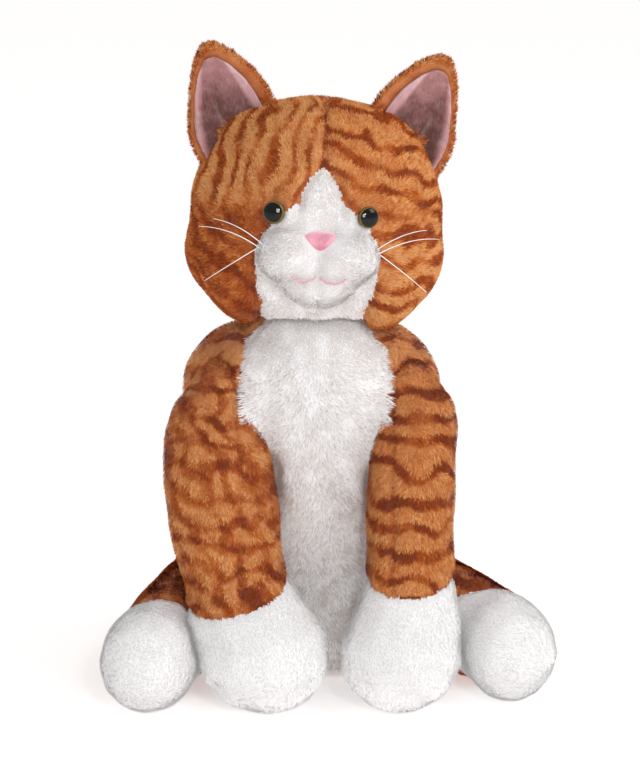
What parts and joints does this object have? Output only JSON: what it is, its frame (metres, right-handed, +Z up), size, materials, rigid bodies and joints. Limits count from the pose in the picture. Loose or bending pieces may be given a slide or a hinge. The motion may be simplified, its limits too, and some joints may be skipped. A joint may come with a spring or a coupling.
{
  "type": "plush cat",
  "caption": "Seated ginger and white plush cat with a weighted seat, jointed soft head, limbs and tail, glossy eyes, thread whiskers and satin-lined ears.",
  "frame": {"origin": "on the floor under the neck, inside the flat rest face of the seat", "axes": "+Z up through the neck, the cat faces -Y, +X is the cat's own left side"},
  "size_m": [0.2784, 0.2551, 0.396],
  "materials": {
    "ginger_plush": "short tabby pile, matte",
    "white_plush": "short white pile, matte",
    "ear_satin": "brushed satin with a soft sheen",
    "nose_satin": "satin stitch, slight sheen",
    "mouth_thread": "embroidery thread",
    "eye_plastic": "polished dome with a thin amber ring",
    "washer_plastic": "moulded",
    "stuffing_fibre": "polyester fibre filling",
    "pouch_cloth": "plain woven pouch of pellets",
    "whisker_thread": "stiff waxed thread"
  },
  "bodies": {
    "torso": {"chest_panel": "white_plush", "seat_panel": "ginger_plush", "torso_panel_left": "ginger_plush", "torso_panel_right": "ginger_plush", "torso_stuffing": "stuffing_fibre", "pellet_pouch": "pouch_cloth"},
    "neck": {"neck_stuffing": "stuffing_fibre"},
    "head": {"head_back_panel": "ginger_plush", "face_panel_left": "ginger_plush", "face_panel_right": "ginger_plush", "muzzle_panel": "white_plush", "head_stuffing": "stuffing_fibre", "nose_patch": "nose_satin", "mouth_stitch_left": "mouth_thread", "eye_left": "eye_plastic", "eye_washer_left": "washer_plastic", "ear_left_back": "ginger_plush", "ear_left_lining": "ear_satin", "whisker_left_upper": "whisker_thread", "whisker_left_middle": "whisker_thread", "whisker_left_lower": "whisker_thread", "mouth_stitch_right": "mouth_thread", "eye_right": "eye_plastic", "eye_washer_right": "washer_plastic", "ear_right_back": "ginger_plush", "ear_right_lining": "ear_satin", "whisker_right_upper": "whisker_thread", "whisker_right_middle": "whisker_thread", "whisker_right_lower": "whisker_thread"},
    "front_leg_left": {"front_leg_left_outer_panel": "ginger_plush", "front_leg_left_inner_panel": "ginger_plush", "front_paw_left": "white_plush", "front_leg_left_stuffing": "stuffing_fibre"},
    "hind_leg_left": {"hind_leg_left_thigh": "ginger_plush", "hind_foot_left": "white_plush", "hind_leg_left_stuffing": "stuffing_fibre"},
    "front_leg_right": {"front_leg_right_outer_panel": "ginger_plush", "front_leg_right_inner_panel": "ginger_plush", "front_paw_right": "white_plush", "front_leg_right_stuffing": "stuffing_fibre"},
    "hind_leg_right": {"hind_leg_right_thigh": "ginger_plush", "hind_foot_right": "white_plush", "hind_leg_right_stuffing": "stuffing_fibre"},
    "tail": {"tail_sleeve": "ginger_plush", "tail_stuffing": "stuffing_fibre"}
  },
  "joints": [
    {"name": "neck_nod", "type": "hinge", "parent": "torso", "child": "neck", "pos_m": [0, 0.002, 0.205], "axis": [1, 0, 0], "range_deg": [-8, 12], "stiffness_Nm_per_rad": 1.5},
    {"name": "neck_turn", "type": "hinge", "parent": "neck", "child": "head", "pos_m": [0, 0.002, 0.205], "axis": [0, 0, 1], "range_deg": [-25, 25], "stiffness_Nm_per_rad": 0.6},
    {"name": "shoulder_left", "type": "hinge", "parent": "torso", "child": "front_leg_left", "pos_m": [0.062, -0.027, 0.168], "axis": [-1, 0, 0], "range_deg": [0, 60], "stiffness_Nm_per_rad": 0.5},
    {"name": "shoulder_right", "type": "hinge", "parent": "torso", "child": "front_leg_right", "pos_m": [-0.062, -0.027, 0.168], "axis": [-1, 0, 0], "range_deg": [0, 60], "stiffness_Nm_per_rad": 0.5},
    {"name": "hip_left", "type": "hinge", "parent": "torso", "child": "hind_leg_left", "pos_m": [0.067, 0.022, 0.037], "axis": [0, 0, 1], "range_deg": [0, 35], "stiffness_Nm_per_rad": 0.5},
    {"name": "hip_right", "type": "hinge", "parent": "torso", "child": "hind_leg_right", "pos_m": [-0.067, 0.022, 0.037], "axis": [0, 0, -1], "range_deg": [0, 35], "stiffness_Nm_per_rad": 0.5},
    {"name": "tail_swing", "type": "hinge", "parent": "torso", "child": "tail", "pos_m": [0, 0.09, 0.019], "axis": [0, 0, 1], "range_deg": [-10, 40], "stiffness_Nm_per_rad": 0.2}
  ]
}
